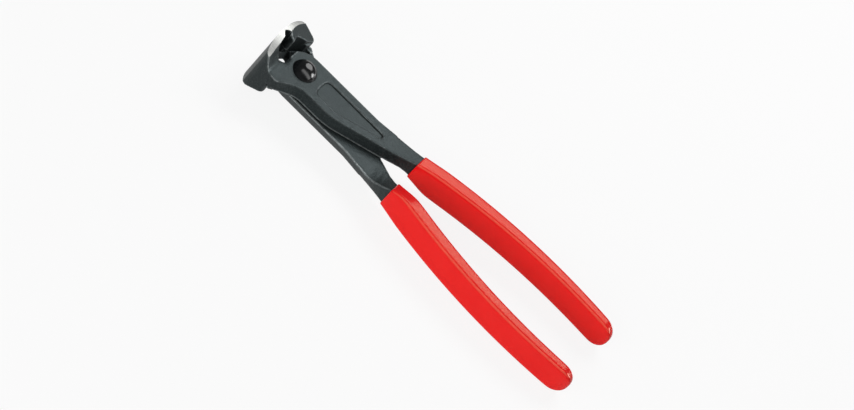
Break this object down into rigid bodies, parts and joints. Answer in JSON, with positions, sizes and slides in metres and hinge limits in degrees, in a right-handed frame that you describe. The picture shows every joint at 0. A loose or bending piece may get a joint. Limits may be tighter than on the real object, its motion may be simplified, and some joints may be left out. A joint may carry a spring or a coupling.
{
  "type": "end cutting nippers",
  "caption": "Hand nippers with wide flush-cutting jaws across the end, forged black levers crossed on a domed rivet, and red dipped grips.",
  "frame": {"origin": "under the middle of the closed tool's box, level with the lowest corner of the blades", "axes": "+Y along the tool towards the jaws, +Z along the rivet, +X to the right"},
  "size_m": [0.0478, 0.2, 0.0297],
  "materials": {
    "forged_steel": "black phosphated forged steel, satin, with bright ground blade ends",
    "rivet_steel": "black, glossy",
    "dipped_plastic": "smooth dipped plastic, glossy"
  },
  "bodies": {
    "front_half": {"front_lever": "forged_steel", "pivot_rivet": "rivet_steel", "right_grip": "dipped_plastic"},
    "back_half": {"back_lever": "forged_steel", "left_grip": "dipped_plastic"}
  },
  "joints": [
    {"name": "pivot", "type": "hinge", "parent": "front_half", "child": "back_half", "pos_m": [0, 0.08075, 0.01485], "axis": [0, 0, -1], "range_deg": [0, 45]}
  ]
}
